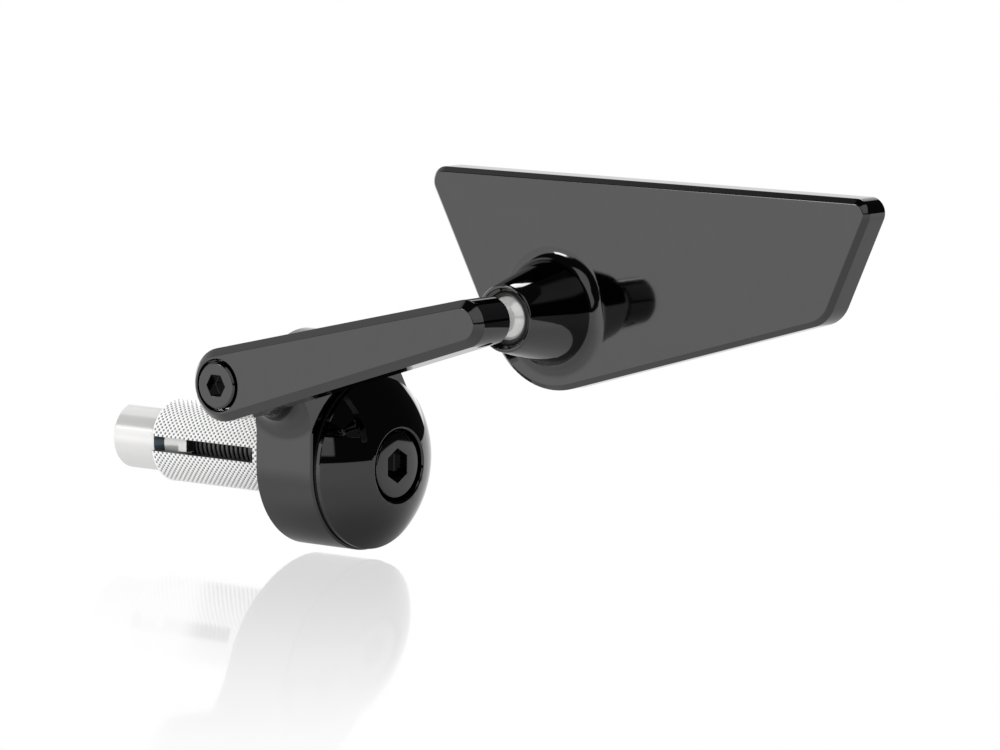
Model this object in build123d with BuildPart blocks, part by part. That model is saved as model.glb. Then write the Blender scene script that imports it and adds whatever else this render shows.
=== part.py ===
from build123d import *
import os
from math import cos, radians, sin, sqrt

# Left-hand bar end mirror, in millimetres. X runs along the handlebar and points outboard,
# Y points to the rider and Z is up. The origin is on the bar's axis, at the face of the
# clamp body that butts against the end of the bar.

# Clamp body: a disc and a smaller crown in one egg-shaped outline, with a flared pivot boss
body_width = 15.0
body_radius = 18.3
crown_radius = 14.9
crown_height = 12.2
body_inner_edge = 0.12
body_outer_edge = 0.4
bolt_bore_radius = 4.25
boss_inset = 0.1
boss_flare_radius = 6.1

# Domed end cap with its gasket, and the washer under the bolt's head
cap_rise = 8.2
cap_setback = 0.4
cap_rim_width = 1.3
cap_rim_edge = 0.3
cap_spigot_radius = 10.0
cap_spigot_length = 2.0
spigot_clearance = 0.05
cap_recess_radius = 7.6
cap_recess_edge = 0.35
gasket_thickness = 0.5
gasket_setback = 0.7
gasket_width = 2.4
washer_thickness = 1.2

# Expander bolt
bolt_radius = 4.0
bolt_end_inset = 2.9
bolt_point = 0.8
bolt_head_radius = 6.8
bolt_head_height = 5.0
bolt_head_sink = 0.45
bolt_head_edge = 0.4
bolt_hex = 6.2
bolt_hex_depth = 3.6

# Expansion sleeve, slit from its inner end
sleeve_radius = 8.9
sleeve_length = 37.9
sleeve_bore_radius = 6.3
sleeve_collar_length = 8.0
sleeve_spigot_radius = 7.0
sleeve_spigot_length = 4.0
sleeve_edge = 0.5
sleeve_seat_depth = 0.15
sleeve_seat_clearance = 0.3
slot_count = 3
slot_width = 3.2
slot_length = 28.6

# Cone nut, and the key that stops it turning in the sleeve
nut_radius = 7.1
nut_gap = 0.5
nut_body_length = 11.75
nut_edge = 0.4
cone_length = 1.7
cone_clearance = 0.15
nut_shank_radius = 5.6
nut_shank_length = 7.5
thread_clearance = 0.05
key_length = 2.3
key_width = 2.6
key_top = 7.0
key_seat = 4.6

# Arm: a flat bar that tapers from the pivot to the ball
arm_length = 65.3
arm_angle = 15.4
arm_thickness = 9.7
arm_root_radius = 7.5
arm_tip_radius = 4.75
arm_front_chamfer = 1.6
arm_back_chamfer = 0.1

# Pivot: its place on the clamp body, then screw, bush, washers and threaded insert
pivot_height = 19.0
pivot_reach = 10.4
pivot_washer_radius = 7.0
pivot_washer_thickness = 0.5
pivot_head_radius = 4.8
pivot_head_height = 4.0
pivot_head_proud = 0.5
pivot_head_edge = 0.35
pivot_recess_radius = 5.4
pivot_hex = 4.3
pivot_hex_depth = 2.7
shoulder_radius = 3.3
running_clearance = 0.05
bush_wall = 0.9
press_clearance = 0.02
spring_washer_radius = 5.2
spring_washer_thickness = 0.6
pivot_thread_radius = 3.0
pivot_thread_length = 10.0
insert_radius = 4.6
insert_length = 12.0

# Ball stud and the small screw that locks it in the arm
ball_radius = 6.0
ball_reach = 9.2
ball_flat_radius = 1.5
neck_radius = 2.8
neck_flare = 0.8
stud_collar_radius = 3.9
stud_collar_length = 0.9
stud_thread_radius = 2.5
stud_thread_length = 7.0
lock_screw_radius = 1.5
lock_screw_length = 2.0
lock_screw_hex = 1.5
lock_screw_hex_depth = 1.1
lock_screw_back = 3.5

# Ball socket, from the ball outwards
ball_clearance = 0.12
liner_thickness = 0.78
front_liner_angles = (46.0, 81.0)
rear_liner_angles = (100.0, 152.0)
socket_lip_reach = 4.6
socket_mouth_radius = 6.0
socket_front_reach = 5.3
socket_front_radius = 6.8
socket_front_edge = 0.25
socket_root_radius = 10.7
socket_root_fillet = 2.4
cup_start = 3.0
cup_length = 4.4
cup_clearance = 0.1
cup_hole_radius = 3.0
spring_count = 2
spring_radius = 6.7
spring_hole_radius = 4.0
spring_thickness = 0.7
spring_cup = 0.35
plug_radius = 8.2
plug_length = 3.0
plug_hole_radius = 2.5
plug_slot_width = 1.6
plug_slot_depth = 1.2

# Mirror plate: four straight sides, and each corner has its own radius
plate_offset = 10.33
plate_thickness = 6.4
plate_chamfer = 1.0
plate_rim_edge = 0.3
plate_top = 63.6
plate_top_left = 36.85
plate_top_right = 147.65
plate_low_right = (136.6, 39.1)
plate_low_left = (61.65, 17.4)
top_left_round = 3.1
top_right_round = 3.0
low_right_round = 6.8
low_left_round = 16.8

# Glass side of the mirror plate
rim_width = 1.8
pocket_depth = 3.4
pad_thickness = 0.8
pad_margin = 3.0
glass_thickness = 2.4
glass_clearance = 0.15
glass_bevel = 0.5

# Places along the bar that follow from the sizes
cap_radius = body_radius - cap_setback
cap_base_x = body_width + gasket_thickness
cap_rim_x = body_width + cap_rise
bolt_top_x = cap_rim_x - bolt_head_sink
bolt_seat_x = bolt_top_x - bolt_head_height
washer_seat_x = bolt_seat_x - washer_thickness
spigot_end_x = body_width - cap_spigot_length
nut_front_x = -sleeve_length - nut_gap
nut_back_x = nut_front_x - nut_body_length
bolt_end_x = nut_back_x + bolt_end_inset
nut_shank_x = nut_front_x + cone_length
nut_nose_x = nut_shank_x + nut_shank_length
cone_slope = (nut_radius - nut_shank_radius) / cone_length

# Places across the bar, from the clamp body back to the rider's side of the plate
crown_shift = crown_radius - body_radius
boss_face_y = -body_radius - pivot_reach
arm_back_y = boss_face_y - pivot_washer_thickness
arm_front_y = arm_back_y - arm_thickness
pivot_recess_depth = pivot_head_height - pivot_head_proud + spring_washer_thickness
pivot_seat_y = arm_front_y + pivot_recess_depth
ball_y = arm_back_y + ball_reach
plate_back_y = ball_y + plate_offset
plate_glass_y = plate_back_y + plate_thickness
pocket_floor_y = plate_glass_y - pocket_depth

# The pivot's axis and the ball's axis both run along Y
pivot_x = body_width / 2
tip_x = pivot_x + arm_length * cos(radians(arm_angle))
tip_z = pivot_height + arm_length * sin(radians(arm_angle))

# Radii and faces of the ball socket
boss_radius = arm_root_radius - boss_inset
bush_radius = shoulder_radius + running_clearance + bush_wall
seat_radius = ball_radius + ball_clearance
liner_radius = seat_radius + liner_thickness
socket_radius = liner_radius + ball_clearance
socket_front_y = ball_y - socket_front_reach
cup_end_y = ball_y + cup_start + cup_length
spring_height = spring_thickness + spring_cup
plug_front_y = cup_end_y + spring_count * spring_height
plug_clearance = spigot_clearance


def facing_front(y, x=0.0, z=0.0):
    # A plane that faces the road ahead: its own X runs along the bar and its own Y is up
    return Plane(origin=(x, y, z), x_dir=(1, 0, 0), z_dir=(0, -1, 0))


def half_section(x, z):
    # A plane through an axis along Y: its own X is the radius and its own Y the world's Y
    return Plane(origin=(x, 0, z), x_dir=(1, 0, 0), z_dir=(0, 0, 1))


def axis_along_y(x, z):
    return Axis((x, 0, z), (0, 1, 0))


def sphere_height(radius, reach):
    # How far a sphere's surface stands from its centre, at a distance from its axis
    return sqrt(radius**2 - reach**2)


def dome_radius(start, end):
    # The sphere centred on the bar's axis that passes two points given as (x, radius)
    spread = start[0] ** 2 + start[1] ** 2 - end[0] ** 2 - end[1] ** 2
    centre = spread / (2 * (start[0] - end[0]))
    return sqrt((start[0] - centre) ** 2 + start[1] ** 2)


def arm_outline():
    # Two circles and the lines that touch both of them
    with BuildSketch() as outline:
        with Locations((pivot_x, pivot_height)):
            Circle(arm_root_radius)
        with Locations((tip_x, tip_z)):
            Circle(arm_tip_radius)
        make_hull()
    return outline.sketch


def plate_outline(inset=0.0):
    # The plate's four straight sides with a round at each corner, drawn inset by a margin
    corners = [
        ((plate_top_left, plate_top), top_left_round),
        ((plate_top_right, plate_top), top_right_round),
        (plate_low_right, low_right_round),
        (plate_low_left, low_left_round),
    ]
    with BuildSketch() as outline:
        with BuildLine():
            Polyline(*[point for point, _ in corners], close=True)
        make_face()
        for point, radius in corners:
            fillet(outline.vertices().sort_by_distance((*point, 0))[0], radius)
        if inset > 0:
            offset(amount=-inset, mode=Mode.REPLACE)
    return outline.sketch


def ball_liner(angles):
    # A zone of a thin spherical shell round the ball, between two angles from the stud
    start, end = angles
    with BuildPart() as liner:
        with BuildSketch(half_section(tip_x, tip_z)):
            with BuildLine():
                outer = CenterArc((0, ball_y), liner_radius, start - 90, end - start)
                inner = CenterArc((0, ball_y), seat_radius, start - 90, end - start)
                Line(outer @ 0, inner @ 0)
                Line(outer @ 1, inner @ 1)
            make_face()
        revolve(axis=axis_along_y(tip_x, tip_z))
    return liner.part


def write(part, name):
    part.label = name
    export_step(part, "parts/" + name + ".step")


os.makedirs("parts", exist_ok=True)

# Flare of the pivot boss, kept below the boss's axis and between the body's two faces
with BuildPart() as boss_flare:
    with BuildSketch(half_section(pivot_x, pivot_height)):
        with BuildLine():
            flare_top = (boss_radius, -body_radius - boss_flare_radius)
            flare_foot = (boss_radius + boss_flare_radius, -body_radius)
            RadiusArc(flare_top, flare_foot, boss_flare_radius)
            Polyline(flare_foot, (flare_foot[0], crown_shift), (0, crown_shift))
            Polyline((0, crown_shift), (0, flare_top[1]), flare_top)
        make_face()
    revolve(axis=axis_along_y(pivot_x, pivot_height))
    with Locations((pivot_x, boss_face_y, pivot_height)):
        Box(
            body_width,
            4 * pivot_reach,
            2 * body_radius,
            align=(Align.CENTER, Align.MIN, Align.MAX),
            mode=Mode.INTERSECT,
        )

# Clamp body: the egg-shaped slab with its boss, bores for bolt and spigots, and pivot hole
with BuildPart() as clamp_body:
    with BuildSketch(Plane.YZ):
        Circle(body_radius)
        with Locations((crown_shift, crown_height)):
            Circle(crown_radius)
        make_hull()
    extrude(amount=body_width)
    chamfer(clamp_body.faces().sort_by(Axis.X)[0].edges(), length=body_inner_edge)
    chamfer(clamp_body.faces().sort_by(Axis.X)[-1].edges(), length=body_outer_edge)
    add(boss_flare.part)
    with BuildSketch(facing_front(boss_face_y, pivot_x, pivot_height)):
        Circle(boss_radius)
    extrude(amount=boss_face_y - crown_shift)
    with BuildSketch(Plane.YZ):
        Circle(bolt_bore_radius)
    extrude(amount=body_width, mode=Mode.SUBTRACT)
    with BuildSketch(Plane.YZ):
        Circle(sleeve_spigot_radius + spigot_clearance)
    extrude(amount=sleeve_spigot_length, mode=Mode.SUBTRACT)
    with BuildSketch(Plane.YZ):
        Circle(sleeve_radius + sleeve_seat_clearance)
    extrude(amount=sleeve_seat_depth, mode=Mode.SUBTRACT)
    with BuildSketch(Plane.YZ.offset(body_width)):
        Circle(cap_spigot_radius)
    extrude(amount=-cap_spigot_length, mode=Mode.SUBTRACT)
    with BuildSketch(facing_front(boss_face_y, pivot_x, pivot_height)):
        Circle(insert_radius + press_clearance)
    extrude(amount=-insert_length, mode=Mode.SUBTRACT)
write(clamp_body.part, "clamp_body")

# End cap: a spherical dome on a narrow rim, recessed for the bolt's head
with BuildPart() as end_cap:
    with BuildSketch(Plane.XY):
        with BuildLine():
            groove_radius = body_radius - gasket_setback - gasket_width - spigot_clearance
            spigot_radius = cap_spigot_radius - spigot_clearance
            dome_start = (cap_base_x + cap_rim_width, cap_radius)
            dome_end = (cap_rim_x, cap_recess_radius + cap_recess_edge)
            Polyline(
                (spigot_end_x, bolt_bore_radius),
                (spigot_end_x, spigot_radius),
                (body_width, spigot_radius),
                (body_width, groove_radius),
                (cap_base_x, groove_radius),
                (cap_base_x, cap_radius - cap_rim_edge),
                (cap_base_x + cap_rim_edge, cap_radius),
                dome_start,
            )
            RadiusArc(dome_start, dome_end, dome_radius(dome_start, dome_end))
            Polyline(
                dome_end,
                (cap_rim_x - cap_recess_edge, cap_recess_radius),
                (washer_seat_x, cap_recess_radius),
                (washer_seat_x, bolt_bore_radius),
                (spigot_end_x, bolt_bore_radius),
            )
        make_face()
    revolve(axis=Axis.X)
write(end_cap.part, "end_cap")

# Gasket in the groove between the body and the cap
with BuildPart() as cap_gasket:
    with BuildSketch(Plane.YZ.offset(body_width)):
        Circle(body_radius - gasket_setback)
        Circle(body_radius - gasket_setback - gasket_width, mode=Mode.SUBTRACT)
    extrude(amount=gasket_thickness)
write(cap_gasket.part, "cap_gasket")

with BuildPart() as bolt_washer:
    with BuildSketch(Plane.YZ.offset(washer_seat_x)):
        Circle(bolt_head_radius)
        Circle(bolt_bore_radius, mode=Mode.SUBTRACT)
    extrude(amount=washer_thickness)
write(bolt_washer.part, "bolt_washer")

# Expander bolt with a low socket head
with BuildPart() as expander_bolt:
    with BuildSketch(Plane.YZ.offset(bolt_seat_x)):
        Circle(bolt_head_radius)
    extrude(amount=bolt_head_height)
    chamfer(expander_bolt.faces().sort_by(Axis.X)[-1].edges(), length=bolt_head_edge)
    with BuildSketch(Plane.YZ.offset(bolt_seat_x)):
        Circle(bolt_radius)
    extrude(amount=bolt_end_x - bolt_seat_x)
    chamfer(expander_bolt.faces().sort_by(Axis.X)[0].edges(), length=bolt_point)
    with BuildSketch(Plane.YZ.offset(bolt_top_x)):
        RegularPolygon(bolt_hex / 2, 6, major_radius=False, rotation=30)
    extrude(amount=-bolt_hex_depth, mode=Mode.SUBTRACT)
write(expander_bolt.part, "expander_bolt")

# Expansion sleeve: a tube with a solid collar and spigot, a coned mouth and long slots
with BuildPart() as expansion_sleeve:
    towards_front = Plane(origin=(0, 0, 0), x_dir=(1, 0, 0), z_dir=(0, 0, -1))
    mouth_radius = nut_radius - cone_slope * nut_gap + cone_clearance
    mouth_depth = (mouth_radius - sleeve_bore_radius) / cone_slope
    with BuildSketch(towards_front):
        with BuildLine():
            Polyline(
                (sleeve_spigot_length, bolt_bore_radius),
                (sleeve_spigot_length, sleeve_spigot_radius),
                (sleeve_seat_depth, sleeve_spigot_radius),
                (sleeve_seat_depth, sleeve_radius),
                (-sleeve_length + sleeve_edge, sleeve_radius),
                (-sleeve_length, sleeve_radius - sleeve_edge),
                (-sleeve_length, mouth_radius),
                (-sleeve_length + mouth_depth, sleeve_bore_radius),
                (-sleeve_collar_length, sleeve_bore_radius),
                (-sleeve_collar_length, bolt_bore_radius),
                close=True,
            )
        make_face()
    revolve(axis=Axis.X)
    with BuildSketch(Plane.YZ.offset(-sleeve_length)):
        with PolarLocations(sleeve_radius, slot_count, start_angle=180):
            Rectangle(sleeve_radius, slot_width)
    extrude(amount=slot_length, mode=Mode.SUBTRACT)
write(expansion_sleeve.part, "expansion_sleeve")

# Cone nut: a round body outside the sleeve, its cone and a keyed shank inside
with BuildPart() as cone_nut:
    with BuildSketch(Plane.XY):
        with BuildLine():
            Polyline(
                (nut_back_x, bolt_radius + thread_clearance),
                (nut_back_x, nut_radius - nut_edge),
                (nut_back_x + nut_edge, nut_radius),
                (nut_front_x, nut_radius),
                (nut_shank_x, nut_shank_radius),
                (nut_nose_x, nut_shank_radius),
                (nut_nose_x, bolt_radius + thread_clearance),
                close=True,
            )
        make_face()
    revolve(axis=Axis.X)
    with BuildSketch(Plane.YZ.offset(nut_nose_x)):
        with Locations((-key_seat, 0)):
            Rectangle(key_top, key_width + 2 * press_clearance, align=(Align.MAX, Align.CENTER))
    extrude(amount=-key_length, mode=Mode.SUBTRACT)
write(cone_nut.part, "cone_nut")

with BuildPart() as nut_key:
    with BuildSketch(Plane.YZ.offset(nut_nose_x)):
        with Locations((-key_seat, 0)):
            Rectangle(key_top - key_seat, key_width, align=(Align.MAX, Align.CENTER))
    extrude(amount=-key_length)
write(nut_key.part, "nut_key")

# Arm: recessed for the pivot screw in front, bored for the bush and for the ball stud
with BuildPart() as arm:
    with BuildSketch(facing_front(arm_back_y)):
        add(arm_outline())
    extrude(amount=arm_thickness)
    chamfer(arm.faces().sort_by(Axis.Y)[0].edges(), length=arm_front_chamfer)
    chamfer(arm.faces().sort_by(Axis.Y)[-1].edges(), length=arm_back_chamfer)
    with Locations(facing_front(arm_front_y, pivot_x, pivot_height)):
        CounterBoreHole(bush_radius + press_clearance, pivot_recess_radius, pivot_recess_depth)
    with BuildSketch(facing_front(arm_back_y, tip_x, tip_z)):
        Circle(stud_thread_radius + press_clearance)
    extrude(amount=stud_thread_length, mode=Mode.SUBTRACT)
    down = Vector(sin(radians(arm_angle)), 0, -cos(radians(arm_angle)))
    lock_centre = Vector(tip_x, arm_back_y - lock_screw_back, tip_z)
    lock_plane = Plane(origin=lock_centre, x_dir=(0, 1, 0), z_dir=down)
    with BuildSketch(lock_plane):
        Circle(lock_screw_radius + press_clearance)
    extrude(amount=2 * arm_tip_radius, mode=Mode.SUBTRACT)
write(arm.part, "arm")

with BuildPart() as pivot_bush:
    with BuildSketch(facing_front(pivot_seat_y, pivot_x, pivot_height)):
        Circle(bush_radius)
        Circle(shoulder_radius + running_clearance, mode=Mode.SUBTRACT)
    extrude(amount=pivot_seat_y - arm_back_y)
write(pivot_bush.part, "pivot_bush")

with BuildPart() as pivot_washer:
    with BuildSketch(facing_front(boss_face_y, pivot_x, pivot_height)):
        Circle(pivot_washer_radius)
        Circle(shoulder_radius + running_clearance, mode=Mode.SUBTRACT)
    extrude(amount=pivot_washer_thickness)
write(pivot_washer.part, "pivot_washer")

with BuildPart() as pivot_spring_washer:
    with BuildSketch(facing_front(pivot_seat_y, pivot_x, pivot_height)):
        Circle(spring_washer_radius)
        Circle(shoulder_radius + running_clearance, mode=Mode.SUBTRACT)
    extrude(amount=spring_washer_thickness)
write(pivot_spring_washer.part, "pivot_spring_washer")

with BuildPart() as pivot_insert:
    with BuildSketch(facing_front(boss_face_y, pivot_x, pivot_height)):
        Circle(insert_radius)
        Circle(pivot_thread_radius + press_clearance, mode=Mode.SUBTRACT)
    extrude(amount=-insert_length)
write(pivot_insert.part, "pivot_insert")

# Pivot screw: head in the arm's recess, shoulder through the bush, thread in the insert
with BuildPart() as pivot_screw:
    head_seat_y = pivot_seat_y - spring_washer_thickness
    with BuildSketch(facing_front(head_seat_y, pivot_x, pivot_height)):
        Circle(pivot_head_radius)
    extrude(amount=pivot_head_height)
    chamfer(pivot_screw.faces().sort_by(Axis.Y)[0].edges(), length=pivot_head_edge)
    with BuildSketch(facing_front(head_seat_y, pivot_x, pivot_height)):
        Circle(shoulder_radius)
    extrude(amount=head_seat_y - boss_face_y)
    with BuildSketch(facing_front(boss_face_y, pivot_x, pivot_height)):
        Circle(pivot_thread_radius)
    extrude(amount=-pivot_thread_length)
    with BuildSketch(facing_front(head_seat_y - pivot_head_height, pivot_x, pivot_height)):
        RegularPolygon(pivot_hex / 2, 6, major_radius=False)
    extrude(amount=-pivot_hex_depth, mode=Mode.SUBTRACT)
write(pivot_screw.part, "pivot_screw")

# Ball stud: thread in the arm, collar against its back, flared neck and ball
with BuildPart() as ball_stud:
    with BuildSketch(half_section(tip_x, tip_z)):
        with BuildLine():
            neck_y = ball_y - sphere_height(ball_radius, neck_radius)
            flat_y = ball_y + sphere_height(ball_radius, ball_flat_radius)
            collar_y = arm_back_y + stud_collar_length
            Polyline(
                (0, flat_y),
                (0, arm_back_y - stud_thread_length),
                (stud_thread_radius, arm_back_y - stud_thread_length),
                (stud_thread_radius, arm_back_y),
                (stud_collar_radius, arm_back_y),
                (stud_collar_radius, collar_y),
                (neck_radius + neck_flare, collar_y),
            )
            RadiusArc((neck_radius + neck_flare, collar_y), (neck_radius, collar_y + neck_flare), neck_flare)
            Line((neck_radius, collar_y + neck_flare), (neck_radius, neck_y))
            ThreePointArc((neck_radius, neck_y), (ball_radius, ball_y), (ball_flat_radius, flat_y))
            Line((ball_flat_radius, flat_y), (0, flat_y))
        make_face()
    revolve(axis=axis_along_y(tip_x, tip_z))
write(ball_stud.part, "ball_stud")

with BuildPart() as stud_lock_screw:
    with BuildSketch(lock_plane.offset(stud_thread_radius + press_clearance)):
        Circle(lock_screw_radius)
    extrude(amount=lock_screw_length)
    with BuildSketch(lock_plane.offset(stud_thread_radius + press_clearance + lock_screw_length)):
        RegularPolygon(lock_screw_hex / 2, 6, major_radius=False)
    extrude(amount=-lock_screw_hex_depth, mode=Mode.SUBTRACT)
write(stud_lock_screw.part, "stud_lock_screw")

write(ball_liner(front_liner_angles), "front_ball_liner")
write(ball_liner(rear_liner_angles), "rear_ball_liner")

# Thrust cup: presses the rear liner towards the ball
with BuildPart() as thrust_cup:
    with BuildSketch(half_section(tip_x, tip_z)):
        with BuildLine():
            cup_mouth = (sphere_height(socket_radius, cup_start), ball_y + cup_start)
            cup_throat = (cup_hole_radius, ball_y + sphere_height(socket_radius, cup_hole_radius))
            Polyline(
                cup_mouth,
                (socket_radius - cup_clearance, ball_y + cup_start),
                (socket_radius - cup_clearance, cup_end_y),
                (cup_hole_radius, cup_end_y),
                cup_throat,
            )
            RadiusArc(cup_throat, cup_mouth, socket_radius)
        make_face()
    revolve(axis=axis_along_y(tip_x, tip_z))
write(thrust_cup.part, "thrust_cup")

# Disc springs, stacked face to face so that their outer edges meet
with BuildPart() as disc_springs:
    with BuildSketch(half_section(tip_x, tip_z)):
        for index in range(spring_count):
            start_y = cup_end_y + index * spring_height
            inner_y = start_y + spring_cup * (index % 2)
            outer_y = start_y + spring_cup * ((index + 1) % 2)
            with BuildLine():
                Polyline(
                    (spring_hole_radius, inner_y),
                    (spring_radius, outer_y),
                    (spring_radius, outer_y + spring_thickness),
                    (spring_hole_radius, inner_y + spring_thickness),
                    close=True,
                )
            make_face()
    revolve(axis=axis_along_y(tip_x, tip_z))
write(disc_springs.part, "disc_springs")

# Threaded plug that closes the socket and sets the ball's friction
with BuildPart() as socket_plug:
    with BuildSketch(facing_front(plug_front_y, tip_x, tip_z)):
        Circle(plug_radius)
        Circle(plug_hole_radius, mode=Mode.SUBTRACT)
    extrude(amount=-plug_length)
    with BuildSketch(facing_front(plug_front_y + plug_length, tip_x, tip_z)):
        Rectangle(2 * plug_radius + plug_slot_width, plug_slot_width)
    extrude(amount=plug_slot_depth, mode=Mode.SUBTRACT)
write(socket_plug.part, "socket_plug")

# Mirror housing: the chamfered plate, and the cone that grows out of it round the ball
with BuildPart() as mirror_housing:
    with BuildSketch(facing_front(plate_glass_y)):
        add(plate_outline())
    extrude(amount=plate_thickness)
    chamfer(mirror_housing.faces().sort_by(Axis.Y)[0].edges(), length=plate_chamfer)
    chamfer(mirror_housing.faces().sort_by(Axis.Y)[-1].edges(), length=plate_rim_edge)
    with BuildSketch(half_section(tip_x, tip_z)):
        with BuildLine():
            Polyline(
                (0, pocket_floor_y),
                (0, socket_front_y),
                (socket_front_radius - socket_front_edge, socket_front_y),
                (socket_front_radius, socket_front_y + socket_front_edge),
                (socket_root_radius, plate_back_y),
                (socket_root_radius, pocket_floor_y),
                close=True,
            )
        make_face()
    revolve(axis=axis_along_y(tip_x, tip_z))
    root = mirror_housing.edges().filter_by(GeomType.CIRCLE).filter_by(
        lambda edge: abs(edge.radius - socket_root_radius) < 0.01
        and abs(edge.arc_center.Y - plate_back_y) < 0.01
    )
    fillet(root, radius=socket_root_fillet)
    with BuildSketch(facing_front(plate_glass_y)):
        add(plate_outline(rim_width))
    extrude(amount=pocket_depth, mode=Mode.SUBTRACT)
    with BuildSketch(half_section(tip_x, tip_z)):
        with BuildLine():
            lip = (sphere_height(socket_radius, socket_lip_reach), ball_y - socket_lip_reach)
            Polyline((0, plate_glass_y), (0, socket_front_y), (socket_mouth_radius, socket_front_y), lip)
            RadiusArc(lip, (socket_radius, ball_y), -socket_radius)
            Polyline(
                (socket_radius, ball_y),
                (socket_radius, cup_end_y),
                (plug_radius + plug_clearance, cup_end_y),
                (plug_radius + plug_clearance, plate_glass_y),
                (0, plate_glass_y),
            )
        make_face()
    revolve(axis=axis_along_y(tip_x, tip_z), mode=Mode.SUBTRACT)
write(mirror_housing.part, "mirror_housing")

with BuildPart() as adhesive_pad:
    with BuildSketch(facing_front(pocket_floor_y)):
        add(plate_outline(rim_width + pad_margin))
    extrude(amount=-pad_thickness)
write(adhesive_pad.part, "adhesive_pad")

with BuildPart() as mirror_glass:
    with BuildSketch(facing_front(pocket_floor_y + pad_thickness)):
        add(plate_outline(rim_width + glass_clearance))
    extrude(amount=-glass_thickness)
    chamfer(mirror_glass.faces().sort_by(Axis.Y)[-1].edges(), length=glass_bevel)
write(mirror_glass.part, "mirror_glass")
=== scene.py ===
import bmesh
import bpy
import numpy as np
from mathutils import Matrix


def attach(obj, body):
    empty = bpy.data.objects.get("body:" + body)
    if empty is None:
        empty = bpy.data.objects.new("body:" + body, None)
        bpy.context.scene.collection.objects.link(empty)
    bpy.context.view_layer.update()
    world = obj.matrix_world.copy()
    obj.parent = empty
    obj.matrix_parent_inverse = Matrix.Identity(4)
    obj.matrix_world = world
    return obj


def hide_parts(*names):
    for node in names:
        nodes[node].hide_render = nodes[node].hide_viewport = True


# Bar end mirror dressed for a studio picture. Metres, +X outboard along the bar, +Z up.
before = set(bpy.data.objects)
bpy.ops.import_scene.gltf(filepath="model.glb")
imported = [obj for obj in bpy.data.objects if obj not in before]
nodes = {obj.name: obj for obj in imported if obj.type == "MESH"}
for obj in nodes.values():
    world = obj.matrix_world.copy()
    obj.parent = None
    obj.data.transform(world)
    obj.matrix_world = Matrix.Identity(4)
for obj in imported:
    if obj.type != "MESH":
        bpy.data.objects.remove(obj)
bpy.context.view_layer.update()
mm = 0.001
print("frame loaded, pieces:", len(nodes))


# Shader expressions: a Wire is one output socket, and arithmetic on wires adds Math nodes
class Wire:
    def __init__(self, shader, socket):
        self.shader = shader
        self.socket = socket

    def math(self, operation, *others):
        return self.shader.add("ShaderNodeMath", {"operation": operation}, [self, *others])

    def __add__(self, other):
        return self.math("ADD", other)

    def __sub__(self, other):
        return self.math("SUBTRACT", other)

    def __mul__(self, other):
        return self.math("MULTIPLY", other)

    def __rsub__(self, other):
        return self.shader.add("ShaderNodeMath", {"operation": "SUBTRACT"}, [other, self])

    __radd__ = __add__
    __rmul__ = __mul__

    # 0 below low, 1 above high, smooth between; low may be above high
    def ramp(self, low, high):
        settings = {"interpolation_type": "SMOOTHSTEP"}
        return self.shader.add("ShaderNodeMapRange", settings, [self, low, high, 0.0, 1.0])


class Shader:
    def __init__(self, tree):
        self.tree = tree
        tree.nodes.clear()

    # One node: its settings first, then values or links for its sockets, by place or by name
    def add(self, kind, settings=None, values=(), output=0):
        node = self.tree.nodes.new(kind)
        for key, value in (settings or {}).items():
            setattr(node, key, value)
        pairs = values.items() if isinstance(values, dict) else enumerate(values)
        for key, value in pairs:
            if isinstance(value, Wire):
                self.tree.links.new(value.socket, node.inputs[key])
            elif value is not None:
                node.inputs[key].default_value = value
        return Wire(self, node.outputs[output]) if len(node.outputs) else node

    def place(self):
        return self.add("ShaderNodeTexCoord", output="Object")

    def axis(self, vector, index):
        return self.add("ShaderNodeSeparateXYZ", values=[vector], output=index)

    def noise(self, vector, scale, detail=2.0):
        return self.add("ShaderNodeTexNoise", values={"Vector": vector, "Scale": scale, "Detail": detail})

    # Distance or dot product of two vectors
    def measure(self, operation, first, second):
        return self.add("ShaderNodeVectorMath", {"operation": operation}, [first, second], output="Value")

    # Noise is about one half; this turns it into a number about the middle, over the width given
    def around(self, noise, middle, width):
        return (noise - 0.5) * width + middle

    # Colour between two colours
    def blend(self, factor, first, second):
        node = self.tree.nodes.new("ShaderNodeMix")
        node.data_type = "RGBA"
        self.tree.links.new(factor.socket, node.inputs["Factor"])
        for key, value in (("A", first), ("B", second)):
            socket = [s for s in node.inputs if s.name == key and s.type == "RGBA"][0]
            if isinstance(value, Wire):
                self.tree.links.new(value.socket, socket)
            else:
                socket.default_value = (*value, 1.0)
        out = [s for s in node.outputs if s.type == "RGBA"][0]
        return Wire(self, out)

    def bump(self, height, distance, strength):
        values = {"Strength": strength, "Distance": distance, "Height": height}
        return self.add("ShaderNodeBump", values=values)

    def surface(self, values):
        out = self.add("ShaderNodeBsdfPrincipled", values=values)
        self.add("ShaderNodeOutputMaterial", values=[out])


def newMaterial(name):
    material = bpy.data.materials.new(name)
    material.use_nodes = True
    return material, Shader(material.node_tree)


# Black anodised aluminium: a dark metal with the soft, slightly uneven gloss of the oxide
anodised = {
    "cloudScale": 260.0,
    "fineScale": 9000.0,
    "dark": (0.96, 0.96, 0.97),
    "light": (1.03, 1.03, 1.03),
    "roughnessShare": 0.25,
    "fineDepth": 0.002 * mm,
    "fineStrength": 0.15,
}


def blackFinish(name, shine, roughness):
    material, shader = newMaterial(name)
    place = shader.place()
    cloud = shader.noise(place, anodised["cloudScale"], 3.0)
    fine = shader.noise(place, anodised["fineScale"])
    dark = tuple(shine * share for share in anodised["dark"])
    light = tuple(shine * share for share in anodised["light"])
    shader.surface({
        "Base Color": shader.blend(cloud, dark, light),
        "Metallic": 1.0,
        "Roughness": shader.around(cloud, roughness, roughness * anodised["roughnessShare"]),
        "Normal": shader.bump(fine, anodised["fineDepth"], anodised["fineStrength"]),
    })
    return material


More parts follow.
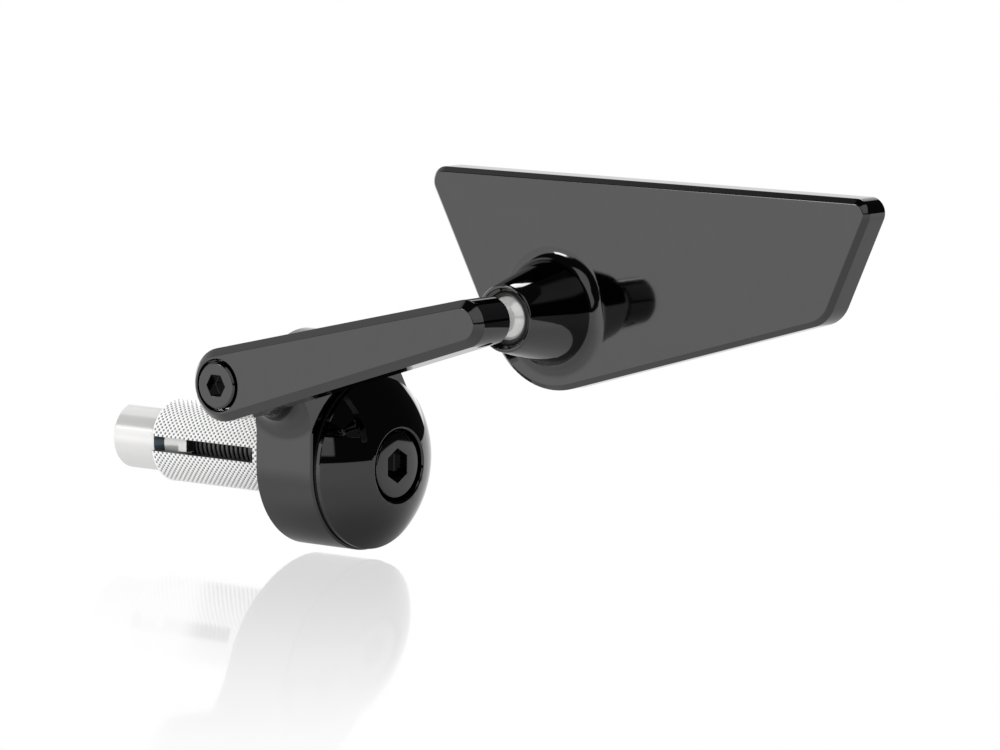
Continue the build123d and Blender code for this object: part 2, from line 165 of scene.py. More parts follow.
# A colour laid over another from one place along an axis to the next: a band of painted shade
def withPaintedShade(shader, along, tone, paintedShadeBand):
    start, end, edge = paintedShadeBand["start"], paintedShadeBand["end"], paintedShadeBand["edge"]
    paintedShadeMask = along.ramp(start - edge, start + edge) * along.ramp(end + edge, end - edge)
    return shader.blend(paintedShadeMask, tone, paintedShadeBand["color"])


# Bright turned metal: fine rings along one axis, with bands of painted shade where they are given
turning = {
    "ringScale": 9000.0,
    "cloudScale": 180.0,
    "darkShare": 0.93,
    "roughnessShare": 0.3,
    "ringDepth": 0.004 * mm,
    "ringStrength": 0.3,
}


def turnedMetal(name, color, metallic, roughness, axisIndex=0, paintedShadeBands=()):
    material, shader = newMaterial(name)
    place = shader.place()
    along = shader.axis(place, axisIndex)
    across = shader.add("ShaderNodeCombineXYZ", values=[along * turning["ringScale"], 0.0, 0.0])
    lines = shader.noise(across, 1.0)
    cloud = shader.noise(place, turning["cloudScale"])
    dark = tuple(c * turning["darkShare"] for c in color)
    tone = shader.blend(cloud * 0.5 + lines * 0.5, dark, color)
    for paintedShadeBand in paintedShadeBands:
        tone = withPaintedShade(shader, along, tone, paintedShadeBand)
    shader.surface({
        "Base Color": tone,
        "Metallic": metallic,
        "Roughness": shader.around(lines, roughness, roughness * turning["roughnessShare"]),
        "Normal": shader.bump(lines, turning["ringDepth"], turning["ringStrength"]),
    })
    return material


# Knurl and thread: brighter crests, with painted shade in the pits between them, a dark base colour where
# the hollows would be shaded. The thread's crests are lighter than the bolt's black: painted light on its
# lit rings. The radius from the bar's axis, the root of the sum of the squares of Y and Z, tells one from
# the other.
ridged = {
    "metallic": 0.15,
    "cloudScale": 300.0,
    "pitRoughness": 0.45,
    "crestSmoother": 0.12,
    "roughnessWidth": 0.1,
}
knurlRidges = {
    "crest": (0.98, 0.98, 0.975),
    "paintedPitShade": (0.07, 0.075, 0.08),
    "crestRadius": 8.80 * mm,
    "pitRadius": 8.66 * mm,
}
threadRidges = {
    # the thread's crest colour, lighter than the bolt's black, is painted light on its lit rings
    "crest": (0.19, 0.19, 0.195),
    "paintedPitShade": (0.0, 0.0, 0.0),
    "crestRadius": 3.96 * mm,
    "pitRadius": 3.74 * mm,
}


def ridgedMetal(name, ridges):
    material, shader = newMaterial(name)
    place = shader.place()
    y = shader.axis(place, 1)
    z = shader.axis(place, 2)
    radius = (y * y + z * z).math("SQRT")
    # the mask from pit to crest by radius, which lays the painted shade in the pits
    height = radius.ramp(ridges["pitRadius"], ridges["crestRadius"])
    cloud = shader.noise(place, ridged["cloudScale"])
    roughness = ridged["pitRoughness"] - height * ridged["crestSmoother"]
    shader.surface({
        "Base Color": shader.blend(height, ridges["paintedPitShade"], ridges["crest"]),
        "Metallic": ridged["metallic"],
        "Roughness": shader.around(cloud, roughness, ridged["roughnessWidth"]),
    })
    return material


# Moulded plastic, rubber and foam: a colour with a fine grain, and a band of painted shade where one is
# given
grained = {"colorSpread": 0.15, "roughnessWidth": 0.15, "strength": 0.4}


def moulded(name, color, roughness, grainScale=1500.0, depth=0.01, paintedShadeBand=None):
    material, shader = newMaterial(name)
    place = shader.place()
    grain = shader.noise(place, grainScale, 3.0)
    low = tuple(c * (1.0 - grained["colorSpread"]) for c in color)
    high = tuple(min(1.0, c * (1.0 + grained["colorSpread"])) for c in color)
    tone = shader.blend(grain, low, high)
    if paintedShadeBand:
        tone = withPaintedShade(shader, shader.axis(place, 0), tone, paintedShadeBand)
    shader.surface({
        "Base Color": tone,
        "Roughness": shader.around(grain, roughness, grained["roughnessWidth"]),
        "Normal": shader.bump(grain, depth * mm, grained["strength"]),
    })
    return material


# Silvered glass: a mirror with the faint blue of the glass in front of it
silver = {
    "cloudScale": 40.0,
    "dark": (0.80, 0.84, 0.86),
    "light": (0.83, 0.87, 0.89),
    "smoothest": 0.002,
    "roughnessWidth": 0.006,
}


def silvered(name):
    material, shader = newMaterial(name)
    cloud = shader.noise(shader.place(), silver["cloudScale"])
    shader.surface({
        "Base Color": shader.blend(cloud, silver["dark"], silver["light"]),
        "Metallic": 1.0,
        "Roughness": cloud * silver["roughnessWidth"] + silver["smoothest"],
    })
    return material


# The nut's cone is painted darker than its body and shank: painted shade where it is seen through the
# sleeve's slot
paintedShadeConeBand = {"start": -38.4 * mm, "end": -36.7 * mm, "edge": 0.03 * mm, "color": (0.075, 0.1, 0.12)}
# The flat end that shank and key share is painted dark: painted shade on that end face
paintedShadeNoseBand = {"start": -29.23 * mm, "end": -29.0 * mm, "edge": 0.01 * mm, "color": (0.02, 0.021, 0.023)}

finishes = {
    "satinBlack": blackFinish("satinBlack", 0.107, 0.06),
    "glossBlack": blackFinish("glossBlack", 0.09, 0.03),
    "screwBlack": blackFinish("screwBlack", 0.094, 0.07),
    "threadBlack": ridgedMetal("threadBlack", threadRidges),
    "nutSilver": turnedMetal("nutSilver", (0.93, 0.925, 0.915), 0.45, 0.16, paintedShadeBands=(paintedShadeConeBand, paintedShadeNoseBand)),
    "sleeveKnurl": ridgedMetal("sleeveKnurl", knurlRidges),
    "studSteel": turnedMetal("studSteel", (0.9, 0.895, 0.88), 0.45, 0.18, axisIndex=1),
    "springSteel": turnedMetal("springSteel", (0.55, 0.55, 0.54), 1.0, 0.28, axisIndex=1),
    "bushBronze": turnedMetal("bushBronze", (0.62, 0.42, 0.2), 1.0, 0.35, axisIndex=1),
    "linerPlastic": moulded("linerPlastic", (0.03, 0.03, 0.032), 0.45),
    "keyPlastic": moulded("keyPlastic", (0.88, 0.87, 0.85), 0.4, paintedShadeBand=paintedShadeNoseBand),
    "gasketRubber": moulded("gasketRubber", (0.004, 0.004, 0.004), 0.7),
    "padFoam": moulded("padFoam", (0.05, 0.05, 0.05), 0.9, grainScale=2500.0, depth=0.05),
    "mirrorSilver": silvered("mirrorSilver"),
}
print("finishes made:", len(finishes))


# A piece that keeps its shape gets a finish
def dress(name, finish):
    data = nodes[name].data
    data.materials.clear()
    data.materials.append(finishes[finish])


# Points of a new piece that are closer than this, in metres, are one point
samePlace = 1e-8


# A mesh object from points in millimetres and faces; smooth, but sharp over the angle in degrees
def newPiece(name, points, faces, finish, angle):
    mesh = bpy.data.meshes.new(name)
    mesh.from_pydata((points * mm).tolist(), [], faces)
    work = bmesh.new()
    work.from_mesh(mesh)
    bmesh.ops.remove_doubles(work, verts=work.verts, dist=samePlace)
    bmesh.ops.recalc_face_normals(work, faces=work.faces)
    work.to_mesh(mesh)
    work.free()
    mesh.shade_smooth()
    mesh.set_sharp_from_angle(angle=np.radians(angle))
    piece = bpy.data.objects.new(name, mesh)
    bpy.context.scene.collection.objects.link(piece)
    mesh.materials.append(finishes[finish])
    return piece


# Quads of a grid whose points are numbered row by row; its columns close into a ring
def ringQuads(rows, columns, keep=None):
    row, column = np.meshgrid(np.arange(rows - 1), np.arange(columns), indexing="ij")
    following = (column + 1) % columns
    corners = [row * columns + column, row * columns + following]
    corners += [(row + 1) * columns + following, (row + 1) * columns + column]
    quads = np.stack(corners, axis=-1)
    return quads[keep] if keep is not None else quads.reshape(-1, 4)


# A piece takes the place of a node: it rides on the node's body, and the node is hidden
def settle(piece, body, node):
    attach(piece, body)
    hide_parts(node)


# A softened copy of a machined piece: welded, flat faces joined, every sharp edge rounded a
# little. The edge's width is in millimetres, and the angles in degrees.
softening = {"weld": 0.0001, "flatAngle": 0.3, "sharpAngle": 30.0, "segments": 2}


def softened(name, finish, body, slot, edge, reshape=None):
    mesh = nodes[name].data.copy()
    mesh.name = name + "_soft"
    work = bmesh.new()
    work.from_mesh(mesh)
    flat = np.radians(softening["flatAngle"])
    sharp = np.radians(softening["sharpAngle"])
    bmesh.ops.remove_doubles(work, verts=work.verts, dist=softening["weld"] * mm)
    bmesh.ops.dissolve_limit(work, angle_limit=flat, verts=work.verts, edges=work.edges)
    work.to_mesh(mesh)
    work.free()
    if reshape:
        reshape(mesh)
    mesh.shade_smooth()
    mesh.set_sharp_from_angle(angle=sharp)
    mesh.materials.clear()
    mesh.materials.append(finishes[finish])
    piece = bpy.data.objects.new(name + "_soft", mesh)
    bpy.context.scene.collection.objects.link(piece)
    bevel = piece.modifiers.new("edges", "BEVEL")
    bevel.width = edge * mm
    bevel.segments = softening["segments"]
    bevel.limit_method = "ANGLE"
    bevel.angle_limit = sharp
    bevel.use_clamp_overlap = True
    weighted = piece.modifiers.new("normals", "WEIGHTED_NORMAL")
    weighted.keep_sharp = True
    settle(piece, body, name)


# Flare at the foot of the socket, in millimetres: seen in a half plane through the socket's axis,
# the cone's line meets the plate's face in a corner, and the fillet there touches both lines
flare = {
    "axis": (70.4554, 36.3408),
    "corner": (10.7, -9.67),
    "coneTop": (6.8, -25.05),
    "filletReach": 1.95,
    "slack": 0.01,
    "cornerSize": 0.05,
    "alongPlate": 1.5,
    "alongCone": 0.9,
}


# A fillet point is the corner plus one length along the plate and one along the cone. Each length
# is multiplied by its own factor, so the wider fillet still touches both lines.
def widenFlare(mesh):
    points = np.zeros(len(mesh.vertices) * 3)
    mesh.vertices.foreach_get("co", points)
    points = points.reshape(-1, 3) / mm
    corner = np.array(flare["corner"])
    cone = np.array(flare["coneTop"]) - corner
    sides = np.stack([(1.0, 0.0), cone / np.hypot(*cone)])
    away = points[:, [0, 2]] - flare["axis"]
    radius = np.hypot(away[:, 0], away[:, 1])
    lengths = (np.stack([radius, points[:, 1]], axis=-1) - corner) @ np.linalg.inv(sides)
    longer = lengths.max(axis=-1)
    inside = (longer > flare["cornerSize"]) & (longer < flare["filletReach"])
    inside &= lengths.min(axis=-1) > -flare["slack"]
    wider = corner + (lengths * (flare["alongPlate"], flare["alongCone"])) @ sides
    turned = away * (wider[:, :1] / radius[:, None]) + flare["axis"]
    moved = np.stack([turned[:, 0], wider[:, 1], turned[:, 1]], axis=-1)
    points[inside] = moved[inside]
    mesh.vertices.foreach_set("co", (points * mm).ravel())
    print("flare points moved:", int(inside.sum()))


# The machined pieces, with their edges broken
machined = {
    "clamp_body": {"finish": "satinBlack", "body": "clamp", "slot": "black_satin", "edge": 0.15},
    "arm": {"finish": "satinBlack", "body": "arm", "slot": "black_satin", "edge": 0.1},
    "mirror_housing": {
        "finish": "satinBlack", "body": "head", "slot": "black_satin", "edge": 0.1, "reshape": widenFlare,
    },
    "pivot_screw": {"finish": "satinBlack", "body": "clamp", "slot": "black_steel", "edge": 0.08},
    "mirror_glass": {"finish": "mirrorSilver", "body": "head", "slot": "mirror_glass", "edge": 0.05},
    "end_cap": {"finish": "glossBlack", "body": "clamp", "slot": "black_gloss", "edge": 0.12},
    "ball_stud": {"finish": "studSteel", "body": "arm", "slot": "stud_chrome", "edge": 0.08},
    "cone_nut": {"finish": "nutSilver", "body": "nut", "slot": "nut_metal", "edge": 0.15},
}
for name, settings in machined.items():
    softened(name, **settings)
print("machined pieces softened")

# Expansion sleeve, in millimetres: a knurled outer wall over a plain inside, slit from its inner end
sleeve = {
    "radius": 8.9,
    "shoulder": 0.15,
    "end": -37.9,
    "edge": 0.5,
    "slotEnd": -9.3,
    "slots": 3,
    "slotHalfWidth": 1.6,
    "firstSlot": np.pi,
    "mouthRadius": 6.81,
    "mouthEnd": -37.32,
    "boreRadius": 6.3,
    "boreEnd": -8.0,
    "boltHole": 4.25,
    "spigotEnd": 4.0,
    "spigotBore": 7.0,
    "knurlStarts": 45,
    "knurlPerMm": 0.825,
    "knurlDepth": 0.26,
    "knurlFade": 0.35,
    "rowStep": 0.17,
    "fingerColumns": 92,
    "slotColumns": 12,
    "sharpAngle": 50.0,
}


# Two families of helical grooves cross on the wall. Their height is half the sum of two raised
# cosines of (turns along the axis) plus and minus (starts times the angle), so it is 1 where
# crests meet and 0 in the pits, and it fades to 1 at both ends of the wall.
def knurlHeight(along, angle):
    phase = 2 * np.pi * sleeve["knurlPerMm"] * along
    turn = sleeve["knurlStarts"] * angle
    height = 0.5 + 0.25 * (np.cos(phase + turn) + np.cos(phase - turn))
    first, last = sleeve["shoulder"], sleeve["end"] + sleeve["edge"]
    fade = np.clip(np.minimum(first - along, along - last) / sleeve["knurlFade"], 0.0, 1.0)
    return 1.0 - fade * (1.0 - height)


# Columns run round the sleeve in equal parts, one finger and one slot each. At any radius a slot's
# flank stands at the angle whose sine is half the slot's width over that radius.
def sleeveAngles(radius):
    part = 2 * np.pi / sleeve["slots"]
    flank = np.arcsin(sleeve["slotHalfWidth"] / radius)[..., None]
    finger = np.linspace(0.0, 1.0, sleeve["fingerColumns"], endpoint=False)
    slot = np.linspace(0.0, 1.0, sleeve["slotColumns"], endpoint=False)
    one = np.concatenate([flank + finger * (part - 2 * flank), part - flank + slot * 2 * flank], axis=-1)
    turns = sleeve["firstSlot"] + part * np.arange(sleeve["slots"])
    return np.concatenate([one + turn for turn in turns], axis=-1)


# The inside's profile as rows of place along the axis and radius, from the inner end outwards
def sleeveInside():
    end, mouthEnd, slotEnd, boreEnd = (sleeve[key] for key in ("end", "mouthEnd", "slotEnd", "boreEnd"))
    bore, hole = sleeve["boreRadius"], sleeve["boltHole"]
    return np.array([
        (end, sleeve["radius"] - sleeve["edge"]),
        (end, sleeve["mouthRadius"]),
        (mouthEnd, bore),
        (slotEnd, bore),
        (boreEnd, bore),
        (boreEnd, hole),
        (sleeve["spigotEnd"], hole),
        (sleeve["spigotEnd"], sleeve["spigotBore"]),
        (sleeve["shoulder"], sleeve["spigotBore"]),
    ])


# Rows run along the wall and back along the inside, and close into a ring. A point's radius is
# its row's radius, less the knurl's depth times one minus the knurl's height; its Y and Z are
# that radius times the cosine and the sine of its angle.
def buildSleeve():
    first, last = sleeve["shoulder"], sleeve["end"] + sleeve["edge"]
    slotEnd, step = sleeve["slotEnd"], sleeve["rowStep"]
    before = np.linspace(first, slotEnd, int((first - slotEnd) / step))
    after = np.linspace(slotEnd, last, int((slotEnd - last) / step))[1:]
    wall = np.concatenate([before, after])
    inside = sleeveInside()
    along = np.concatenate([wall, inside[:, 0]])
    radius = np.concatenate([np.full(len(wall), sleeve["radius"]), inside[:, 1]])
    angle = sleeveAngles(radius)
    height = knurlHeight(along[:, None], angle)
    height[len(wall):] = 1.0
    reach = radius[:, None] - sleeve["knurlDepth"] * (1.0 - height)
    places = np.broadcast_to(along[:, None], angle.shape)
    points = np.stack([places, reach * np.cos(angle), reach * np.sin(angle)], axis=-1)
    flattenFlanks(points, reach)
    rows, columns = angle.shape
    slotRow = len(before) - 1
    boreRow = len(wall) + int(np.flatnonzero(inside[:, 0] == slotEnd)[0])
    part = sleeve["fingerColumns"] + sleeve["slotColumns"]
    inSlot = (np.arange(columns) % part) >= sleeve["fingerColumns"]
    isOpen = np.zeros((rows, columns), bool)
    isOpen[slotRow:boreRow] = inSlot
    faces = (ringQuads(rows + 1, columns, ~isOpen) % (rows * columns)).tolist()
    # the end of each slot, and one flat face on each flank
    outer, inner = slotRow * columns, boreRow * columns
    for column in np.flatnonzero(inSlot):
        following = (column + 1) % columns
        faces.append([outer + following, outer + column, inner + column, inner + following])
    flankRows = np.arange(slotRow, boreRow + 1)
    for index in range(sleeve["slots"]):
        for column in (index * part, index * part + sleeve["fingerColumns"]):
            faces.append((flankRows * columns + column).tolist())
    return newPiece("knurledSleeve", points.reshape(-1, 3), faces, "sleeveKnurl", sleeve["sharpAngle"])


# The knurl moves a flank's points along the radius; this turns them back onto the flank's plane,
# where the angle from the slot's middle is the arcsine of half the slot's width over the radius
def flattenFlanks(points, reach):
    part = sleeve["fingerColumns"] + sleeve["slotColumns"]
    turn = 2 * np.pi / sleeve["slots"]
    flank = np.arcsin(sleeve["slotHalfWidth"] / reach)
    for index in range(sleeve["slots"]):
        middle = sleeve["firstSlot"] + index * turn
        for column, side in ((index * part, 1), (index * part + sleeve["fingerColumns"], -1)):
            centre = middle if side > 0 else middle + turn
            turned = centre + side * flank[:, column]
            points[:, column, 1] = reach[:, column] * np.cos(turned)
            points[:, column, 2] = reach[:, column] * np.sin(turned)


settle(buildSleeve(), "sleeve", "expansion_sleeve")
print("sleeve knurled and slit")

# Expander bolt, in millimetres: socket head, plain shank under it, then the thread
bolt = {
    "top": 22.75,
    "headHeight": 5.0,
    "headRadius": 6.8,
    "headEdge": 0.4,
    "headRounding": [(0.0, 1.0), (0.25, 0.35), (0.65, 0.05), (1.0, 0.0)],
    "underEdge": 0.08,
    "neckEdge": 0.05,
    "hexAcross": 6.2,
    "hexDepth": 3.6,
    "hexMouth": 0.12,
    "hexFloorEdge": 0.05,
    "poleRadius": 0.02,
    "radius": 4.0,
    "end": -47.25,
    "point": 0.8,
    "threadFrom": -14.0,
    "pitch": 1.25,
    "threadDepth": 0.62,
    "crest": 0.42,
    "root": 0.14,
    "rowsPerPitch": 12,
    "columns": 96,
    "sharpAngle": 35.0,
}


# Thread: the phase is the distance along the axis over the pitch, less the angle over a turn. Its
# fraction gives the depth: none on the crest, full in the root, and straight flanks between.
def threadDepth(along, angle):
    phase = (along / bolt["pitch"] - angle / (2 * np.pi)) % 1.0
    away = np.abs(phase - 0.5) * 2.0
    flank = (away - bolt["root"]) / (1.0 - bolt["crest"] - bolt["root"])
    depth = bolt["threadDepth"] * (1.0 - np.clip(flank, 0.0, 1.0))
    run = np.clip((bolt["threadFrom"] - along) / bolt["pitch"], 0.0, 1.0)
    lead = np.clip((along - bolt["end"] - bolt["point"] * 0.5) / bolt["pitch"], 0.0, 1.0)
    return depth * run * lead


# The hexagon's edge lies at half its width over the cosine of the angle from the nearest flat
def hexRadius(angle, across):
    nearest = (angle % (np.pi / 3)) - np.pi / 6
    return across / 2 / np.cos(nearest)


# The bolt is a stack of rings, each a place along the axis and a radius at every angle, from the
# socket's floor over the head to the point. Y and Z are the radius times cosine and sine. One of
# the socket's flats faces +Y.
def buildBolt():
    angle = np.linspace(0.0, 2 * np.pi, bolt["columns"], endpoint=False)
    top, head, edge, radius = bolt["top"], bolt["headRadius"], bolt["headEdge"], bolt["radius"]
    mouth, floorEdge = bolt["hexMouth"], bolt["hexFloorEdge"]
    underEdge, neckEdge = bolt["underEdge"], bolt["neckEdge"]
    socketFloor = top - bolt["hexDepth"]
    under = top - bolt["headHeight"]
    hexEdge = hexRadius(angle + np.pi / 6, bolt["hexAcross"])
    full = np.ones_like(angle)
    socket = [
        (socketFloor, full * bolt["poleRadius"]),
        (socketFloor, hexEdge - floorEdge),
        (socketFloor + floorEdge, hexEdge),
        (top - mouth, hexEdge),
        (top, hexEdge + mouth),
    ]
    rim = [(top - edge * down, full * (head - edge * inwards)) for down, inwards in bolt["headRounding"]]
    neck = [
        (under + underEdge, full * head),
        (under, full * (head - underEdge)),
        (under, full * (radius + neckEdge)),
        (under - neckEdge, full * radius),
    ]
    step = -bolt["pitch"] / bolt["rowsPerPitch"]
    shank = np.arange(bolt["threadFrom"], bolt["end"] + bolt["point"], step)
    thread = [(x, radius - threadDepth(x, angle)) for x in shank]
    point = [
        (bolt["end"], full * (radius - bolt["point"])),
        (bolt["end"], full * bolt["poleRadius"]),
    ]
    rings = socket + rim + neck + thread + point
    along = np.array([ring[0] for ring in rings])[:, None] * np.ones_like(angle)
    reach = np.array([ring[1] for ring in rings])
    points = np.stack([along, reach * np.cos(angle), reach * np.sin(angle)], axis=-1).reshape(-1, 3)
    rows, columns = reach.shape
    faces = ringQuads(rows, columns).tolist()
    faces.append(list(range(columns)))
    faces.append(list(range((rows - 1) * columns, rows * columns)))
    piece = newPiece("threadedBolt", points, faces, "screwBlack", bolt["sharpAngle"])
    piece.data.materials.append(finishes["threadBlack"])
    centres = np.zeros(len(piece.data.polygons) * 3)
    piece.data.polygons.foreach_get("center", centres)
    onThread = centres.reshape(-1, 3)[:, 0] < bolt["threadFrom"] * mm
    piece.data.polygons.foreach_set("material_index", onThread.astype(np.int32))
    return piece


settle(buildBolt(), "bolt", "expander_bolt")
print("bolt threaded")

plainFinishes = {
    "nut_key": "keyPlastic",
    "bolt_washer": "screwBlack",
    "cap_gasket": "gasketRubber",
    "pivot_insert": "springSteel",
    "pivot_washer": "linerPlastic",
    "pivot_bush": "bushBronze",
    "pivot_spring_washer": "springSteel",
    "stud_lock_screw": "screwBlack",
    "front_ball_liner": "linerPlastic",
    "rear_ball_liner": "linerPlastic",
    "thrust_cup": "linerPlastic",
    "disc_springs": "springSteel",
    "socket_plug": "springSteel",
    "adhesive_pad": "padFoam",
}
for name, finish in plainFinishes.items():
    dress(name, finish)
print("inner pieces dressed:", len(plainFinishes))


# Camera: three-quarter view from the outboard front, close to eye level. Angles are in degrees,
# the distances in metres, lens and sensor in millimetres.
shot = {
    "azimuth": 38.54,
    "elevation": 7.16,
    "roll": 0.45,
    "distance": 1.198,
    "right": 0.03882,
    "up": 0.01674,
    "lens": 207.0,
    "sensor": 36.0,
    "nearest": 0.01,
}


# The camera looks back along the direction to it, which azimuth and elevation give in degrees.
# Rolling turns its right and its up about that direction.
def cameraAxes():
    turn, rise, roll = (np.radians(shot[key]) for key in ("azimuth", "elevation", "roll"))
    back = np.array([np.sin(turn) * np.cos(rise), -np.cos(turn) * np.cos(rise), np.sin(rise)])
    right = np.array([np.cos(turn), np.sin(turn), 0.0])
    up = np.cross(back, right)
    return (
        np.cos(roll) * right + np.sin(roll) * up,
        np.cos(roll) * up - np.sin(roll) * right,
        back,
    )


right, up, back = cameraAxes()
cameraData = bpy.data.cameras.new("studioCamera")
cameraData.lens = shot["lens"]
cameraData.sensor_width = shot["sensor"]
cameraData.clip_start = shot["nearest"]
camera = bpy.data.objects.new("studioCamera", cameraData)
bpy.context.scene.collection.objects.link(camera)
eye = right * shot["right"] + up * shot["up"] + back * shot["distance"]
pose = Matrix(np.column_stack([right, up, back]).tolist()).to_4x4()
pose.translation = eye.tolist()
camera.matrix_world = pose
bpy.context.scene.camera = camera


# Studio: lit panels and a pale floor in a dark room. A panel is given by its bearing from +X and
# its rise above the horizon, in degrees, by the width of its soft edge and by its light.
panels = {
    "backWall": {"bearing": (103.0, 152.0), "rise": (-4.0, 38.0), "edge": 4.0, "light": 1.0},
    "wallGlow": {"bearing": (102.0, 119.0), "rise": (-12.0, 12.0), "edge": 2.0, "light": 1.0},
    "topPanel": {"bearing": (152.0, 196.0), "rise": (-4.0, 52.0), "edge": 12.0, "light": 0.5},
    "sidePanel": {"bearing": (196.0, 242.0), "rise": (-4.0, 24.0), "edge": 4.0, "light": 0.88},
    "frontPanel": {"bearing": (264.0, 331.0), "rise": (21.0, 60.0), "edge": 3.0, "light": 0.6},
    "frontFoot": {"bearing": (292.0, 331.0), "rise": (7.0, 21.0), "edge": 3.0, "light": 0.55},
    "softbox": {"bearing": (104.0, 131.0), "rise": (39.0, 60.0), "edge": 1.5, "light": 7.0},
    "strip": {"bearing": (230.0, 240.0), "rise": (19.0, 27.0), "edge": 1.5, "light": 8.0},
}
studio = {
    "roomLight": 0.02,
    "brightSide": 175.0,
    "sideRamp": (-0.95, 0.25),
    "brightFloor": 0.60,
    "brightSteps": [(-0.8, -0.5, 0.07), (-0.42, -0.06, 0.35)],
    "darkFloor": 0.50,
    "darkSteps": [(-0.6, -0.2, 0.10)],
    "horizonEdge": 0.002,
    "veilStep": (0.4, 0.6),
    "fillLight": 1.3,
    "fillBelow": 0.86,
    "fillRamp": (-1.0, 0.3),
}


# A light that grows with the height in soft steps, each given by its two heights and its light
def stepped(height, start, steps):
    light = start
    for low, high, more in steps:
        light = height.ramp(low, high) * more + light
    return light


# The floor is brighter towards one side, and darker looking down than near the horizon. Height is
# the sine of the rise.
def floorLight(shader, ray, height):
    side = np.radians(studio["brightSide"])
    towards = (float(np.cos(side)), float(np.sin(side)), 0.0)
    across = shader.measure("DOT_PRODUCT", ray, towards)
    bright = stepped(height, studio["brightFloor"], studio["brightSteps"])
    dark = stepped(height, studio["darkFloor"], studio["darkSteps"])
    return dark + (bright - dark) * across.ramp(*studio["sideRamp"])


def buildWorld():
    world = bpy.data.worlds.new("studio")
    bpy.context.scene.world = world
    world.use_nodes = True
    shader = Shader(world.node_tree)
    ray = shader.add("ShaderNodeTexCoord", output="Generated")
    height = shader.axis(ray, 2)
    # the bearing runs from 0 to 360 and starts again at +X
    opposite = (shader.axis(ray, 1) * -1.0).math("ARCTAN2", shader.axis(ray, 0) * -1.0)
    bearing = opposite.math("DEGREES") + 180.0
    rise = height.math("ARCSINE").math("DEGREES")
    light = studio["roomLight"]
    for panel in panels.values():
        edge = panel["edge"] / 2
        share = 1.0
        for angle, (low, high) in ((bearing, panel["bearing"]), (rise, panel["rise"])):
            share = angle.ramp(low - edge, low + edge) * angle.ramp(high + edge, high - edge) * share
        light = share * panel["light"] + light
    horizon = studio["horizonEdge"]
    below = height.ramp(horizon, -horizon)
    mirrored = (1.0 - below) * light + below * floorLight(shader, ray, height)
    # what comes up from the floor's mirror has passed the veil, and finds a white room
    depth = shader.add("ShaderNodeLightPath", output="Transparent Depth")
    passed = depth.ramp(*studio["veilStep"])
    risen = passed * height.ramp(-horizon, horizon)
    mirrored = (1.0 - risen) * mirrored + risen
    white = (1.0, 1.0, 1.0, 1.0)
    more = studio["fillLight"] - studio["fillBelow"]
    fill = height.ramp(*studio["fillRamp"]) * more + studio["fillBelow"]
    background = shader.add("ShaderNodeBackground", values=[white, mirrored])
    soft = shader.add("ShaderNodeBackground", values=[white, fill])
    seen = shader.add("ShaderNodeBackground", values=[white, 1.0])
    scattered = shader.add("ShaderNodeLightPath", output="Is Diffuse Ray")
    direct = shader.add("ShaderNodeLightPath", output="Is Camera Ray")
    both = shader.add("ShaderNodeMixShader", values=[scattered, background, soft])
    final = shader.add("ShaderNodeMixShader", values=[direct, both, seen])
    shader.add("ShaderNodeOutputWorld", values=[final])


# Floor: a pale sheet just under the body, with a faint, slightly leaning mirror image that fades with the
# distance from the body and is fainter beside it. For reflections it carries a painted shadow: a dim
# glow, darkest near the body, stands in for the body's shade. A clear veil lies over it, by which the
# room knows the rays that it mirrors.
floor = {
    "height": -19.4 * mm,
    "veilHeight": -19.2 * mm,
    "halfSize": 0.9,
    "mirror": 0.33,
    "mirrorReach": 0.27,
    "mirrorBeside": 0.22,
    "mirrorFrom": -20.0 * mm,
    "mirrorEdge": 3.0 * mm,
    "mirrorLean": 0.125,
    "roughness": 0.05,
    "shadeCentre": (11.0 * mm, 0.0),
    "shadeCore": 6.8 * mm,
    "shadeReach": 34.0 * mm,
    "shade": 0.62,
    "shadeLight": 0.12,
}


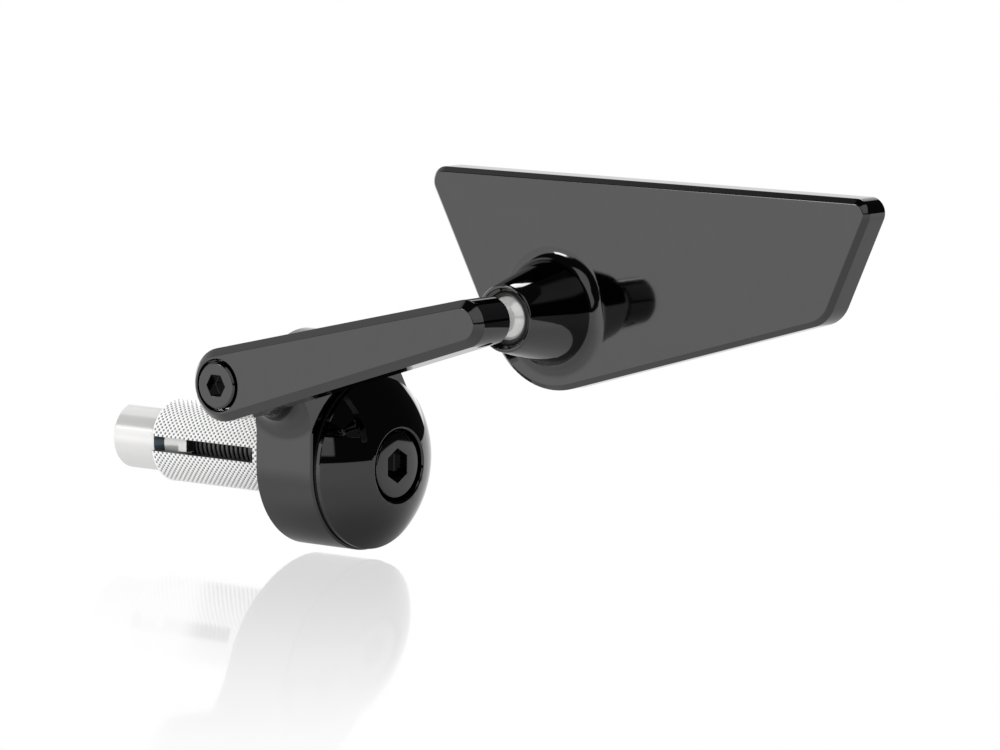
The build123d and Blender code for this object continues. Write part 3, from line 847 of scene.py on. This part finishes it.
# A level square sheet that belongs to the studio and not to the object
def levelSheet(name, level, material):
    size = floor["halfSize"]
    corners = [(-size, -size, level), (size, -size, level), (size, size, level), (-size, size, level)]
    mesh = bpy.data.meshes.new(name)
    mesh.from_pydata(corners, [], [(0, 1, 2, 3)])
    mesh.materials.append(material)
    piece = bpy.data.objects.new(name, mesh)
    bpy.context.scene.collection.objects.link(piece)


def buildVeil():
    material, shader = newMaterial("studioVeil")
    clear = shader.add("ShaderNodeBsdfTransparent")
    shader.add("ShaderNodeOutputMaterial", values=[clear])
    levelSheet("studioVeil", floor["veilHeight"], material)


def buildFloor():
    level = floor["height"]
    material, shader = newMaterial("studioFloor")
    place = shader.place()
    # painted shadow: a dim glow around the body's foot, seen only in reflections
    distance = shader.measure("DISTANCE", place, (*floor["shadeCentre"], level))
    shade = distance.ramp(floor["shadeReach"], floor["shadeCore"]) * floor["shade"]
    across = shader.measure("DOT_PRODUCT", place, tuple(right))
    start, edge, beside = floor["mirrorFrom"], floor["mirrorEdge"], floor["mirrorBeside"]
    width = across.ramp(start - edge, start + edge) * (1.0 - beside) + beside
    share = distance.ramp(floor["mirrorReach"], 0.0) * width * floor["mirror"]
    clear = shader.add("ShaderNodeBsdfTransparent")
    lean = np.array([0.0, 0.0, 1.0]) + right * floor["mirrorLean"]
    normal = shader.add("ShaderNodeVectorMath", {"operation": "NORMALIZE"}, [tuple(lean)])
    polish = {"Color": (1.0, 1.0, 1.0, 1.0), "Roughness": floor["roughness"], "Normal": normal}
    mirror = shader.add("ShaderNodeBsdfGlossy", values=polish)
    dark = shader.add("ShaderNodeEmission", values={"Strength": floor["shadeLight"]})
    seen = shader.add("ShaderNodeMixShader", values=[share, clear, mirror])
    hidden = shader.add("ShaderNodeMixShader", values=[shade, clear, dark])
    direct = shader.add("ShaderNodeLightPath", output="Is Camera Ray")
    under = shader.add("ShaderNodeNewGeometry", output="Backfacing")
    front = shader.add("ShaderNodeMixShader", values=[direct, hidden, seen])
    both = shader.add("ShaderNodeMixShader", values=[under, front, clear])
    shader.add("ShaderNodeOutputMaterial", values=[both])
    levelSheet("studioFloor", level, material)


buildWorld()
buildFloor()
buildVeil()
bpy.context.scene.view_settings.view_transform = "Standard"

print("camera and studio ready")
